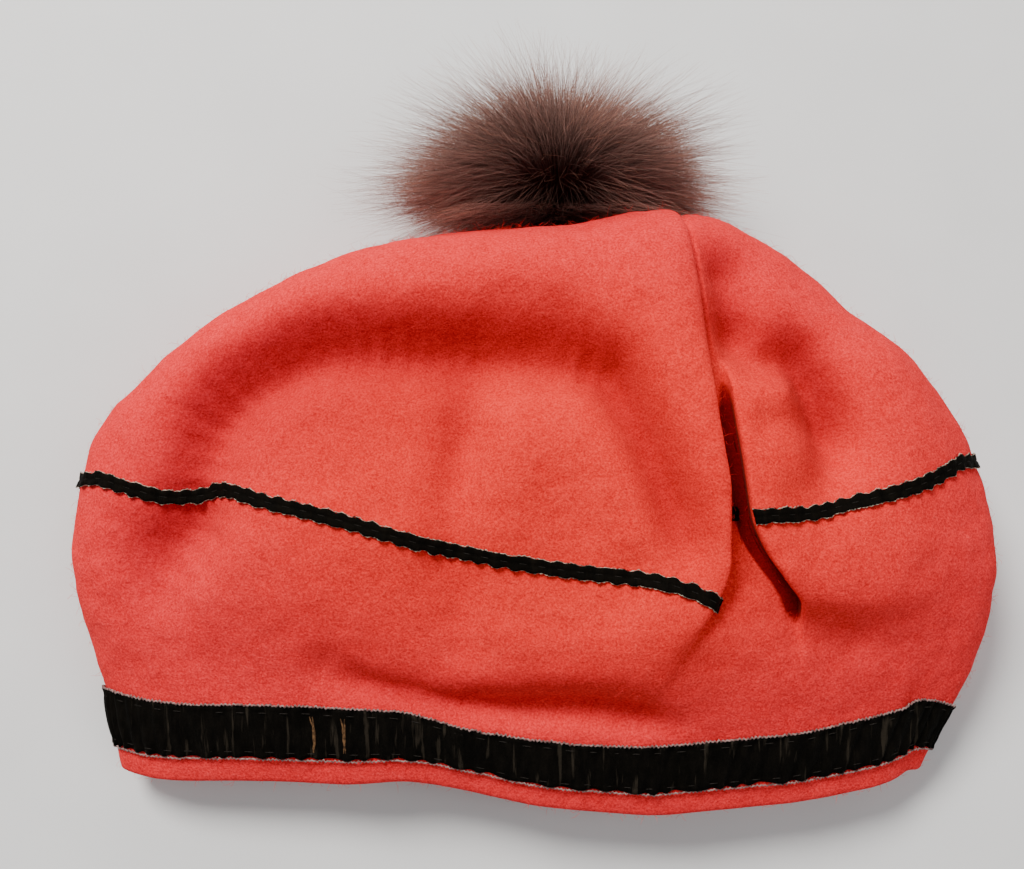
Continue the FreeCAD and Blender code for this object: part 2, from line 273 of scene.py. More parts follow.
def velvetFinish(name, dark, pile, glow, creased):
    material, tree, links, shader = newMaterial(
        name, Roughness=0.8, Sheen_Weight=glow, Sheen_Roughness=0.3,
        Sheen_Tint=(0.75, 0.66, 0.56, 1), Specular_IOR_Level=0.04)
    crush = grain(tree, links, 5.0, (2.2, 0.7, 1), 4, 0.65)
    nap = grain(tree, links, 0.55, detail=2, rough=0.8)
    line = grain(tree, links, 2.2, (1, 0.06, 0.2), 3, 0.6)
    soft = ramp(tree, links, crush, [(0.40, dark), (0.72, pile)])
    close = ramp(tree, links, nap, [(0.35, dark), (0.75, pile)])
    both = blendColours(tree, links, 0.35, soft, close)
    ridge = ramp(tree, links, line, [(0.59, (0, 0, 0)), (0.66, tuple(creased * c for c in pile))])
    links.new(blendColours(tree, links, 1.0, both, ridge, "ADD"), shader.inputs["Base Color"])
    bumps(tree, links, shader, [(line, 0.5), (crush, 0.3), (nap, 0.12)])
    return material


def threadFinish(name, pale, dull, size=0.5, glow=0.2):
    material, tree, links, shader = newMaterial(
        name, Roughness=0.8, Sheen_Weight=glow, Specular_IOR_Level=0.1)
    twist = grain(tree, links, size, (1, 1, 1), 2, 0.6)
    links.new(ramp(tree, links, twist, [(0.35, dull), (0.62, pale)]), shader.inputs["Base Color"])
    bumps(tree, links, shader, [(twist, 0.08)])
    return material


def furFinish(name, roughness):
    material, tree, links, shader = newMaterial(
        name, Roughness=roughness, Specular_IOR_Level=0.12)
    tone = tree.new("ShaderNodeAttribute")
    tone.attribute_name = "tone"
    fleck = ramp(tree, links, grain(tree, links, 2.2, detail=2), [(0.3, (0.75,) * 3), (0.7, (1.0,) * 3)])
    links.new(blendColours(tree, links, 1.0, tone.outputs["Color"], fleck, "MULTIPLY"),
              shader.inputs["Base Color"])
    return material


def skinFinish(name, dark, light, rough=0.95):
    material, tree, links, shader = newMaterial(
        name, Roughness=rough, Specular_IOR_Level=0.25 * (1 - rough))
    creases = grain(tree, links, 1.8, detail=4)
    links.new(ramp(tree, links, creases, [(0.3, dark), (0.7, light)]), shader.inputs["Base Color"])
    bumps(tree, links, shader, [(creases, 0.3)])
    return material


# the felt takes painted shade and light from its tone attribute
feltedWool = feltFinish(shadePainted=True)
looseWool = feltFinish("looseWool")
wideVelvet = velvetFinish("wideVelvet", (0.0011, 0.0008, 0.0004), (0.0055, 0.0043, 0.0030), 0.012, 3.4)
narrowVelvet = velvetFinish("narrowVelvet", (0.0011, 0.0008, 0.0004), (0.005, 0.0035, 0.002), 0.012, 0.0)
crushedVelvet = threadFinish("crushedVelvet", (0.15, 0.075, 0.032), (0.03, 0.015, 0.007), 1.4, 0.0)
edgeThread = threadFinish("edgeThread", (0.46, 0.38, 0.29), (0.012, 0.009, 0.006), 1.3, 0.0)
greyThread = threadFinish("greyThread", (0.022, 0.018, 0.015), (0.006, 0.005, 0.004), glow=0.0)
pinkThread = threadFinish("greyPinkSelvedge", (0.30, 0.19, 0.17), (0.09, 0.032, 0.028), 1.0)
redThread = threadFinish("redThread", (0.62, 0.07, 0.05), (0.38, 0.03, 0.025))
grosgrain = threadFinish("ribbedLining", (0.55, 0.06, 0.045), (0.36, 0.03, 0.026), 0.9)
furHair = furFinish("furHair", 0.5)
furGuard = furFinish("furGuardHair", 0.42)
undercoatFur = skinFinish("undercoatFur", (0.004, 0.0022, 0.0016), (0.020, 0.009, 0.006))
peltSkin = skinFinish("dyedSkin", (0.012, 0.006, 0.004), (0.045, 0.022, 0.014))
buttonGloss = skinFinish("buttonPlastic", (0.010, 0.006, 0.006), (0.018, 0.010, 0.010), 0.35)
tieCord = threadFinish("tieCord", (0.09, 0.05, 0.04), (0.03, 0.017, 0.013), 0.7)
wadding = threadFinish("wadding", (0.72, 0.70, 0.66), (0.52, 0.50, 0.46), 3.0)
print("materials ready")


# the felt bag: upright sections round the hat, away from the tip of the crown

felt = {
    "tipX": 8.6, "tipY": 65.3,
    "away":  (0, 1, 3, 7, 16, 30, 48, 74, 104, 134, 150, 168, 184),
    "left":  (8.6, -32, -43, -53.5, -76, -101.5, -123.5, -142.5, -146.5, -143, -140, -135.6, -131),
    "right": (8.6, 52, 64, 75.5, 89, 103.5, 124, 140, 147.5, 144.4, 139.5, 131.4, 123.5),
    "under": (30, 22.5, 17, 11, 4.5, 1.6, 0.9, 0.9, 0.9, 0.9, 0.9, 0.9, 0.9),
    "top":   (30, 37.5, 43, 49, 55.5, 58.5, 59, 58, 54, 46, 40, 32, 24.5),
    "middle": 0.48, "wall": 2.8, "brimAway": 184.0,
    "crownLean": 3.2, "rows": 150, "hemRows": 8, "innerRows": 44,
    "leftColumns": 112, "underColumns": 60, "rightColumns": 52, "pleatColumns": 136,
}
brimLine = [(-137, 14.5), (-117, 10.6), (-104, 9.8), (-85, 9.6), (-61, 8.6), (-41, 7.4), (-21, 2.5),
            (-10, 0.4), (5, -1.6), (20, -2.3), (36, -2.8), (51, -1.6), (66, -0.3), (80, 1), (98, 4.4),
            (113, 8), (120, 10.5), (135, 8)]  # x, how far the brim is drawn up
hemLine = [(-132, -3), (-118, -3), (-95, -2.3), (-60, -2), (-38, 0.5), (-20, 2.4), (10, 1.4), (45, 0.2),
           (80, 0), (110, -1), (130, 0)]        # x, how much further at the hem


def sectionAt(away):
    root = np.sqrt(np.maximum(away, 0))
    knots = np.sqrt(np.array(felt["away"], float))
    return [curveThrough(knots, felt[key], root) for key in ("left", "right", "under", "top")]


def feltBase(away, angle):
    # the smooth hat: angle 0 is its right edge, a quarter turn its top, half a turn its left edge
    left, right, under, top = sectionAt(away)
    half = (right - left) / 2
    middle = under + felt["middle"] * (top - under)
    cosine, sine = np.cos(angle), np.sin(angle)
    above = sine >= 0
    x = (left + right) / 2 + half * np.sign(cosine) * np.abs(cosine) ** np.where(above, 0.8, 0.556)
    rise = np.abs(sine) ** np.where(above, 0.909, 0.5)
    z = np.where(above, middle + (top - middle) * rise, middle - (middle - under) * rise)
    lean = felt["crownLean"] * np.tanh((x - felt["tipX"]) / 45) * (1 - smooth(0, 60, away))
    lean = lean * smooth(0, 3, away) + 4.2 * np.exp(-((x - 57) / 13) ** 2) * (1 - smooth(0, 45, away))
    drawn = curveThrough([p[0] for p in brimLine], [p[1] for p in brimLine], x) * smooth(110, 160, away)
    drawn += curveThrough([p[0] for p in hemLine], [p[1] for p in hemLine], x) * smooth(158, 184, away)
    return np.stack([x, felt["tipY"] - away + lean + drawn, z], axis=-1)


def angleAt(x, away):
    left, right, _, _ = sectionAt(away)
    u = np.clip((x - (left + right) / 2) / ((right - left) / 2), -0.9999, 0.9999)
    return np.arccos(np.sign(u) * np.abs(u) ** 1.25)


def baseNormal(away, angle):
    away = np.maximum(away, 0.02)
    along = feltBase(away + 0.15, angle) - feltBase(away - 0.015, angle)
    around = feltBase(away, angle + 0.004) - feltBase(away, angle - 0.004)
    return unit(np.cross(around, along))


# folds of the felt, as heights over the smooth hat

folds = [  # line, height, width
    {"line": [(-118, -50), (-107, -30), (-105, -11), (-101.5, 1), (-95, 10), (-81, 18), (-63, 23.5),
              (-42, 22), (-25, 21), (-5, 19.5), (9, 18), (19, 15)],
     "height": (-2, -4, -5, -5.8, -6.2, -6.2, -6.2, -6.2, -6.2, -6.2, -6.2, -3.5), "width": 7.2},
    {"line": [(-112, 6), (-88, 32), (-55, 46), (-15, 49), (25, 46)],
     "height": (0.5, 2, 2.5, 2.5, 1.5), "width": 11},
    {"line": [(-85, 0), (-50, 6), (-10, 8), (12, 8)], "height": (-2.4, -2.8, -2.4, -1.5), "width": 15.0},
    {"line": [(-8, 36), (2, 33)], "height": (-1.2, -1.2), "width": 7.0},
    {"line": [(-22, 12), (-24.5, -8), (-27, -30)], "height": (-0.8, -3.0, -1.2), "width": 5.0},
    {"line": [(-10, 13), (-9, -8), (-10, -30)], "height": (1.2, 3.0, 1.4), "width": 8.0},
    {"line": [(8, 6), (14, -10), (22, -30)], "height": (1.5, 2.2, 1.5), "width": 8.5},
    {"line": [(20, 15), (25, 6), (32, -10), (37.5, -25), (42, -38), (44, -46)],
     "height": (-3, -5, -6, -6, -5, -1.5), "width": 5.6},
    {"line": [(58, 47), (60, 34)], "height": (-4, -3.5), "width": 6.0},
    {"line": [(60, 25), (66, 21), (77, 20), (85, 9), (89, -4), (86, -16)],
     "height": (-4.5, -5, -6.2, -7.4, -7, -3), "width": 6.4},
    {"line": [(66, -1), (84, -1)], "height": (-1.2, -1.5), "width": 4.5},
    {"line": [(67, 10), (71, 10)], "height": (1, 1), "width": 7.0},
    {"line": [(71, -9), (74, -8)], "height": (0.7, 0.7), "width": 8.0},
    {"line": [(80, -60), (92, -62), (106, -62)], "height": (-2, -2.2, -1), "width": 6.0},
    {"line": [(92, -44), (98, -46)], "height": (2.5, 2.5), "width": 14.0},
    {"line": [(-66, -72), (-55, -78.5), (-46, -83), (-26, -85.5), (-6, -85), (13, -84), (28, -87),
              (38, -90)],
     "height": (-1.2, -2.5, -3.5, -4, -4.2, -4.2, -3.6, -1.4), "width": 4.4},
    {"line": [(-8, -66), (15, -64), (34, -65)], "height": (1.5, 3, 2.5), "width": 13.0},
    {"line": [(-29, -43), (-24, -64)], "height": (-1.8, -1.4), "width": 6.0},
    {"line": [(-119, -37), (-112, -31)], "height": (-3, -3), "width": 8.0},
    {"line": [(108, 14), (112, -3), (108, -24)], "height": (1.6, 2, 1), "width": 12.0},
]
foldShift = (3.5, -6.5)     # the steep side of a fold lies this far back from its floor


def foldHeight(x, y):
    total = np.zeros_like(x)
    for fold in folds:
        shape = splineThrough([(*p, h) for p, h in zip(fold["line"], fold["height"])], 28)
        weight = np.zeros_like(x)
        height = np.zeros_like(x)
        nearest = np.full_like(x, 1e9)
        for px, py, ph in shape:
            gap = (x - px) ** 2 + (y - py) ** 2
            nearest = np.minimum(nearest, gap)
            share = np.exp(-gap / (0.5 * fold["width"] ** 2))
            weight += share
            height += share * ph
        total += np.where(weight > 1e-9, height / np.maximum(weight, 1e-9), 0) * np.exp(
            -nearest / (2 * fold["width"] ** 2))
    return 1.7 * total


def roughness(points):
    return (0.55 * noiseOn(points, 26.0) + 0.32 * noiseOn(points, 9.0, 5.0)
            + 0.10 * noiseOn(points, 3.5, 9.0))


# the pleat: a left layer that laps over a sunk strip, and a right layer that laps back

pleat = {
    "leftEdge": [(-120, 22), (-95, 31), (-84, 36), (-70, 44), (-58, 53.2), (-47, 56.6), (-28, 56.6),
                 (-12, 54.6), (6, 52.6), (28, 50.8), (52, 48.5), (75, 46.5)],       # y, x
    "rightEdge": [(-120, 84), (-60, 78), (-53, 73), (-43, 66), (-35, 62.8), (-22, 61), (-5, 59), (6, 58),
                  (28, 56), (52, 53.5), (75, 52)],
    "leftHeight": [(-97, 0), (-90, 0.5), (-76, 2.8), (-60, 6.5), (-45, 8.2), (-20, 8.5), (10, 6.5),
                   (40, 5), (70, 3.5)],
    "leftLap": [(-90, 0), (-72, 0.1), (-60, 0.65), (-52, 1), (-5, 1), (10, 0.8), (40, 0.5), (70, 0.4)],
    "rightHeight": [(-80, 0), (-66, 2), (-56, 5), (-45, 6), (-15, 5.5), (4, 2.5), (14, 0)],
    "rightLap": [(-84, 0), (-70, 0.3), (-60, 0.9), (-53, 1), (-15, 1), (4, 0.7), (16, 0)],
    "leftReach": 40.0, "rightReach": 34.0,
}


def pleatValue(key, y):
    table = pleat[key]
    return curveThrough([p[0] for p in table], [p[1] for p in table], y)


def pleatControls(y, left, right):
    # control points of one row across the pleat, from right to left: x, lift
    one, two = pleatValue("leftEdge", y), pleatValue("rightEdge", y)
    high, low = pleatValue("leftHeight", y), pleatValue("rightHeight", y)
    lap, back = pleatValue("leftLap", y), pleatValue("rightLap", y)
    reachLeft = np.minimum(pleat["leftReach"], 0.85 * (one - left)) / pleat["leftReach"]
    reachRight = np.minimum(pleat["rightReach"], 0.85 * (right - two)) / pleat["rightReach"]
    nil = np.zeros_like(y)

    def spot(edge, folded, flat, share, scale=1.0):
        # folded and flat are (x from the edge, lift)
        x = edge + (flat[0] + (folded[0] - flat[0]) * share) * scale
        return np.stack([x, flat[1] + (folded[1] - flat[1]) * share], axis=-1)

    rows = [spot(one, (d, g * high), (d, g * high), nil, reachLeft)
            for d, g in ((-40, 0), (-33, 0.06), (-26, 0.28), (-19, 0.62), (-12, 0.94))]
    rows += [spot(one, (-6, 1.06 * high), (-6, 0.95 * high), lap, reachLeft),
             spot(one, (-1.6, high + 0.4), (-2, 0.85 * high), lap),
             spot(one, (0.4, high - 1.4), (0, 0.7 * high), lap),
             spot(one, (-1.4, high - 3.2), (1.2, 0.55 * high), lap),
             spot(one, (-4.5, 0.8 + nil), (2.0, 0.4 * high), lap),
             spot(one, (-2.2, -0.6 + nil), (2.6, 0.3 * high), lap),
             spot((one + two) / 2, (-0.5, -1.4 * lap), (0.3, 0.25 * high), lap),
             spot(two, (-0.9, -4.5 + nil), (-2.4, 0.22 * high + 0.15 * low), back),
             spot(two, (1.6, -6.0 + nil), (-1.6, 0.2 * high + 0.3 * low), back),
             spot(two, (1.8, -2.0 + nil), (-0.4, 0.15 * high + 0.5 * low), back),
             spot(two, (0, low - 1.2), (1.0, 0.1 * high + 0.8 * low), back),
             spot(two, (1.6, low + 0.3), (3.0, low), back)]
    rows += [spot(two, (d, g * low), (d, g * low), nil, reachRight)
             for d, g in ((8, 0.95), (14, 0.6), (20, 0.28), (27, 0.06), (34, 0))]
    return np.stack(rows[::-1], axis=0)


def splineAcross(controls, t):
    # uniform cubic B-spline that starts and ends on its end points
    first = 2 * controls[:1] - controls[1:2]
    last = 2 * controls[-1:] - controls[-2:-1]
    points = np.concatenate([first, controls, last])
    spans = len(points) - 3
    s = np.clip(t * spans, 0, spans - 1e-6)
    i = s.astype(int)
    f = (s - i)[:, None]
    pick = np.arange(len(t))
    a, b, c, d = (points[i + k, pick] for k in range(4))
    return ((1 - f) ** 3 * a + (3 * f ** 3 - 6 * f ** 2 + 4) * b
            + (-3 * f ** 3 + 3 * f ** 2 + 3 * f + 1) * c + f ** 3 * d) / 6


def columnAngle(share, away):
    # angle of a column outside the pleat, share 0 to 1 from the pleat's left side round to its right
    left, right, _, _ = sectionAt(away)
    y = feltBase(away, angleAt(np.full_like(away, 55.0), away))[..., 1]
    one, two = pleatValue("leftEdge", y), pleatValue("rightEdge", y)
    startX = one - np.minimum(pleat["leftReach"], 0.85 * (one - left))
    endX = two + np.minimum(pleat["rightReach"], 0.85 * (right - two))
    counts = np.array([felt["leftColumns"], felt["underColumns"], felt["rightColumns"]], float)
    marks = np.cumsum(counts) / counts.sum()
    start, end = angleAt(startX, away), angleAt(endX, away) + turn
    first = start + (math.pi - start) * share / marks[0]
    second = math.pi * (1 + (share - marks[0]) / (marks[1] - marks[0]))
    third = turn + (end - turn) * (share - marks[1]) / (1 - marks[1])
    return np.where(share <= marks[0], first, np.where(share <= marks[1], second, third)), y, left, right


outerShare = 1 - felt["pleatColumns"] / (felt["leftColumns"] + felt["underColumns"]
                                         + felt["rightColumns"] + felt["pleatColumns"])


def feltPlan(u, away):
    # angle and lift of every column u of a row; near the tip the columns of one row are kept
    steady = np.maximum(away, 4.0)
    angle, y, left, right = columnAngle(np.minimum(u / outerShare, 1), steady)
    share = np.clip((u - outerShare) / (1 - outerShare), 0, 1)
    across = splineAcross(pleatControls(y, left, right), share)
    folded = u > outerShare
    angle = np.where(folded, angleAt(across[:, 0], steady), angle)
    return angle, np.where(folded, across[:, 1], 0) * smooth(0, 4, away)


def surface(away, angle, lift=0.0):
    # the folded hat's skin, lift millimetres out from it
    base, out = feltBase(away, angle), baseNormal(away, angle)
    facing = smooth(0.05, 0.55, out[..., 2]) * smooth(0, 12, away) * (1 - smooth(155.5, 164, away))
    height = foldHeight(base[..., 0] - foldShift[0], base[..., 1] - foldShift[1]) * facing
    height = height + roughness(base) * np.where(out[..., 2] < -0.3, 0.2, 1.0) * smooth(0, 3, away)
    return base + out * (height + lift)[..., None], out


def feltPlace(u, v):
    total = felt["rows"] + felt["hemRows"] + felt["innerRows"]
    row = v * total
    brim = felt["brimAway"]
    outside = np.clip(row / felt["rows"], 0, 1)
    inside = np.clip((row - felt["rows"] - felt["hemRows"]) / felt["innerRows"], 0, 1)
    away = np.where(row <= felt["rows"] + felt["hemRows"], brim * outside ** 1.15,
                    0.5 + (brim - 0.5) * (1 - inside) ** 1.15)
    angle, lift = feltPlan(u, away)
    wall = felt["wall"]
    hemTurn = np.clip((row - felt["rows"]) / felt["hemRows"], 0, 1) * math.pi
    lift = np.where(row <= felt["rows"], lift, -wall / 2 + wall / 2 * np.cos(hemTurn))
    spots = surface(away, angle, lift)[0]
    hemOut = np.where((row > felt["rows"]) & (inside <= 0), wall / 2 * np.sin(hemTurn), 0)
    ahead = unit(feltBase(away, angle) - feltBase(away - 1.0, angle))
    return spots + ahead * hemOut[:, None]


columns = felt["leftColumns"] + felt["underColumns"] + felt["rightColumns"] + felt["pleatColumns"]
rows = felt["rows"] + felt["hemRows"] + felt["innerRows"]
feltPiece = gridPiece("felt", columns, rows, feltPlace, feltedWool)
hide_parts("felt_body")

skin = BVHTree.FromPolygons([v.co / mm for v in feltPiece.data.vertices],
                            [p.vertices for p in feltPiece.data.polygons])


slit = {"beside": 3.2, "front": -76, "back": 10, "lowest": 30, "over": 4.0, "shallow": 2.5, "deep": 5.5}


def slitDepth(spots):
    # how deep each spot lies in the slit, 0 to 1, against the felt just right of it; this paints shade
    # into the slit's felt
    x, y, z = spots.T
    beside = np.abs(x - pleatValue("rightEdge", y)) < slit["beside"]
    near = beside & (y > slit["front"]) & (y < slit["back"]) & (z > slit["lowest"])
    depth = np.zeros(len(x))
    for i in np.flatnonzero(near):
        above = skin.ray_cast(Vector((x[i] + slit["over"], y[i], 200)), Vector((0, 0, -1)))[0]
        depth[i] = smooth(slit["shallow"], slit["deep"], above.z - z[i]) if above else 0
    return depth


def feltTone():
    # painted light on the high parts of the folds, painted shade deep in the folds and in the slit, and
    # the wool cooler round the edge
    mesh = feltPiece.data
    spots = np.array([v.co for v in mesh.vertices]) / mm
    out = np.array([v.normal for v in mesh.vertices])
    x, y = spots[:, 0], spots[:, 1]
    # painted light on the fold crests and painted shade in the fold valleys, from the fold heights
    foldLightAndShade = foldHeight(x, y) * smooth(0.0, 0.6, out[:, 2])
    tone = np.clip(0.5 + foldLightAndShade / 20, 0, 1)
    cool = smooth(0.35, 0.95, np.sqrt(((x - 12) / 150) ** 2 + ((y + 22) / 92) ** 2))
    layer = mesh.color_attributes.new("tone", "FLOAT_COLOR", "POINT")
    layer.data.foreach_set("color", np.c_[tone, cool, slitDepth(spots), np.ones(len(tone))].ravel())


feltTone()
print("felt", len(feltPiece.data.polygons), "faces")


# ways of laying things on the felt

def awayAt(y, angle):
    # the section whose point at this angle has this y
    away = np.clip(felt["tipY"] - y, 1, felt["brimAway"])
    for _ in range(25):
        away = np.clip(away + 0.7 * (feltBase(away, angle)[..., 1] - y), 1, felt["brimAway"])
    return away


def planToAngle(x, y):
    # the angle on the upper side of the point over (x, y)
    away = np.clip(felt["tipY"] - y, 1, felt["brimAway"])
    for _ in range(25):
        angle = angleAt(x, away)
        away = np.clip(away + 0.7 * (feltBase(away, angle)[..., 1] - y), 1, felt["brimAway"])
    return angle


def onTop(spot):
    # the highest felt over the spot, or the spot itself near the sides
    hit = skin.ray_cast(Vector((spot[0], spot[1], 200)), Vector((0, 0, -1)))
    return np.array(hit[0]) if hit[0] and abs(hit[0].z - spot[2]) < 14 else np.array(spot)


def capsules(name, spots, alongs, outs, length, width, material, body="root", weight=1.0):
    # short stitches, each a small round bar
    bm = bmesh.new()
    for spot, along, out in zip(spots, alongs, outs):
        side = np.cross(out, along)
        axes = Matrix((side, out, along)).transposed().to_4x4()
        size = Matrix.Diagonal((width / 2, width / 2 * weight, length / 2, 1))
        bmesh.ops.create_uvsphere(bm, u_segments=6, v_segments=4, radius=mm,
                                  matrix=Matrix.Translation(Vector(spot) * mm) @ axes @ size)
    return newPiece(name, finished(bm, name), material, body)


# the wide velvet ribbon round the brim

wideBand = {
    "upper": 98.5, "lower": 112.2, "thick": 0.8, "columns": 760, "rows": 13,
    "lift": 0.95, "pucker": 0.45, "puckers": 92, "edgeWave": 0.22,
}


def bandAngles(u):
    # a full turn, with the places closer together over the top
    return turn * u + 0.18 * np.sin(2 * turn * u)


def ruck(u):
    # how far the gathers stand up at a place round the band
    drift = noiseOn(np.stack([np.cos(turn * u) * 9, np.sin(turn * u) * 9, 0 * u], axis=-1), 1.0)
    return np.sin(wideBand["puckers"] * turn * u + 2.6 * drift), drift


def bandPlace(u, v):
    fromTip = felt["tipY"] + wideBand["upper"] + v * (wideBand["lower"] - wideBand["upper"])
    wave, drift = ruck(u)
    edge = np.abs(2 * v - 1)
    away = fromTip + wideBand["edgeWave"] * (0.6 * drift + 0.5 * wave) * (2 * v - 1)
    angle = bandAngles(u)
    below = smooth(0.1, 0.6, -np.sin(angle))
    seam = np.exp(-((edge - 0.80) / 0.10) ** 2)          # drawn down along the two rows of stitches
    gathers = wideBand["pucker"] * wave * (0.55 + 0.45 * edge)
    height = wideBand["lift"] + gathers + 0.25 * drift - 0.35 * seam
    height = height * (1 - below) + 0.72 * below
    return surface(away, angle, height)[0]


bandPiece = gridPiece("wideVelvetBand", wideBand["columns"], wideBand["rows"], bandPlace, wideVelvet)
thicken(bandPiece, wideBand["thick"])
applyModifiers(bandPiece)
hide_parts("wide_velvet_band")


def bandRow(fromTip, count, lift):
    # evenly spread places round the hat, with their ways along and out
    u = np.linspace(0, 1, 1440, endpoint=False)
    spots, _ = surface(np.full_like(u, felt["tipY"] + fromTip), bandAngles(u))
    way = np.cumsum(np.linalg.norm(np.roll(spots, -1, axis=0) - spots, axis=1))
    u = np.interp(np.linspace(0, way[-1], count, endpoint=False), way, u)
    angle = bandAngles(u)
    away = np.full_like(u, felt["tipY"] + fromTip)
    height = np.where(np.sin(angle) < -0.3, np.minimum(lift, 0.6), lift)
    spots, outs = surface(away, angle, height)
    return spots, unit(np.roll(spots, -1, axis=0) - np.roll(spots, 1, axis=0)), outs


for name, fromTip, node in (("bandUpperStitches", 100.1, "band_upper_stitches"),
                            ("bandLowerStitches", 110.7, "band_lower_stitches")):
    stitches = capsules(name, *bandRow(fromTip, 84, 1.05), 3.0, 0.28, greyThread)
    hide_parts(node)


def selvedge(name, fromTip, count, lift, radius, wander, material):
    # a looped edge thread that zigzags along the edge of the ribbon
    spots, alongs, outs = bandRow(fromTip, count, lift)
    side = np.cross(outs, alongs)
    sway = np.where(np.arange(count) % 2 == 0, 1, -1) * wander + rng.normal(0, 0.12, count)
    spots = spots + side * sway[:, None] + outs * rng.normal(0, 0.08, count)[:, None]
    spots[:, 2] = np.maximum(spots[:, 2], radius + 0.05)
    closed = np.concatenate([spots, spots[:1]])
    thread = strands(name, closed[None], np.full((1, len(closed)), radius), material, sides=1)
    return thread


selvedge("bandUpperSelvedge", 98.1, 900, 0.9, 0.30, 0.24, pinkThread)
selvedge("bandLowerSelvedge", 112.75, 900, 0.85, 0.27, 0.20, pinkThread)


def crushLines():
    # two places where the pile has been crushed across the ribbon
    lines = []
    for x, lean in ((-67.9, 1.6), (-66.9, 0.2), (-58.2, 0.6), (-57.0, -0.4)):
        away = felt["tipY"] + np.linspace(wideBand["upper"] + 2.2, wideBand["lower"] - 2.0, 9)
        bend = np.sin(np.linspace(0, 2.6, 9)) * lean + rng.normal(0, 0.12, 9)
        lines.append(surface(away, angleAt(x + bend, away), 1.30)[0])
    radii = np.tile(0.40 * np.sin(np.linspace(0.35, 2.8, 9)), (len(lines), 1))
    piece = strands("crushedPile", np.array(lines), radii, crushedVelvet, sides=1)


crushLines()
print("wide band ready")


# the narrow ribbon round the crown

narrow = {
    "halfWide": 2.05, "thick": 0.55, "lift": 0.75, "period": 5.0, "across": 8, "step": 0.8,
    "left": [(-134, -21), (-122, -25), (-112, -27.6), (-105, -27.4), (-97.5, -25.8), (-80, -30),
             (-63, -34), (-28, -43.5), (7.6, -49.5), (31, -52.5), (46, -57), (54, -60.2)],
    "right": [(63.6, -35.2), (79, -34), (99.5, -29), (115.6, -24), (132, -16)],
    "stub": [(56.8, -33.4), (61.8, -33.8)],
    "leftTurn": (math.pi + 0.15, -19.5), "rightTurn": (turn - 0.1, -13.0),
    "under": [(1.25 * math.pi, -18.5), (1.5 * math.pi, -17), (1.75 * math.pi, -15)],
}


def routeOverTop(points, step):
    points = np.array(points, float)
    length = np.linalg.norm(np.diff(points, axis=0), axis=1).sum()
    return splineThrough(points, int(length / step))


def narrowRoute():
    # left layer's run, round the underside, and the right layer's run, as one list of places
    left = routeOverTop(narrow["left"][::-1], 1.0)
    right = routeOverTop(narrow["right"][::-1], 1.0)
    leftAngle, rightAngle = planToAngle(*left.T), planToAngle(*right.T) + turn
    turns = [narrow["leftTurn"], *narrow["under"], narrow["rightTurn"]]
    middleAngle = np.linspace(leftAngle[-1], rightAngle[0], 420)[1:-1]
    knots = [leftAngle[-1], *[t[0] for t in turns], rightAngle[0]]
    heights = [left[-1][1], *[t[1] for t in turns], right[0][1]]
    angle = np.concatenate([leftAngle, middleAngle, rightAngle])
    y = np.concatenate([left[:, 1], curveThrough(knots, heights, middleAngle), right[:, 1]])
    spots, outs = surface(awayAt(y, angle), angle)
    for i in range(len(spots)):
        if outs[i][2] > 0.35:
            spots[i] = onTop(spots[i])
    return spots


def evenly(spots, step):
    way = np.concatenate([[0], np.cumsum(np.linalg.norm(np.diff(spots, axis=0), axis=1))])
    where = np.arange(0, way[-1], step)
    even = np.stack([np.interp(where, way, spots[:, k]) for k in range(3)], axis=1)
    return where, even


def layRibbon(spots, step):
    # places, ways along, across and out for a ribbon that follows the spots over the felt
    where, spots = evenly(spots, step)
    for _ in range(2):
        spots[1:-1] = (spots[:-2] + 2 * spots[1:-1] + spots[2:]) / 4
    alongs = unit(np.gradient(spots, axis=0))
    outs = np.array([skin.find_nearest(Vector(s))[1] for s in spots.tolist()])
    for _ in range(6):
        outs[1:-1] = (outs[:-2] + outs[1:-1] + outs[2:]) / 3
    outs = unit(outs - alongs * np.sum(outs * alongs, axis=1, keepdims=True))
    return where, spots, alongs, np.cross(outs, alongs), outs


def ruffle(where):
    # the edge's wave and its unevenness along the ribbon
    places = np.c_[where, where * 0, where * 0]
    return turn * where / narrow["period"] + 1.3 * noiseOn(places, 17.0), noiseOn(places, 3.2, 8.0)


def ribbonPiece(name, laid):
    where, spots, _, sides, outs = laid
    count = len(where)
    phase, uneven = ruffle(where)

    def place(u, v):
        i = np.clip(np.rint(u * (count - 1)).astype(int), 0, count - 1)
        side = 2 * v - 1
        edge = np.abs(side)
        wave = np.sin(phase[i] + np.where(side > 0, 0, 1.9))
        half = narrow["halfWide"] + 0.26 * wave * edge + 0.30 * uneven[i] * edge
        height = narrow["lift"] + 0.65 * (0.5 + 0.5 * wave) * edge ** 1.5 + 0.35 * (1 - edge ** 2)
        height = height - 0.25 * np.exp(-(side / 0.12) ** 2)
        height = np.where(outs[i][:, 2] < -0.3, 0.72, height)
        return spots[i] + sides[i] * (side * half)[:, None] + outs[i] * height[:, None]

    piece = gridPiece(name, count - 1, narrow["across"], place, narrowVelvet)
    thicken(piece, narrow["thick"])
    applyModifiers(piece)
    return piece


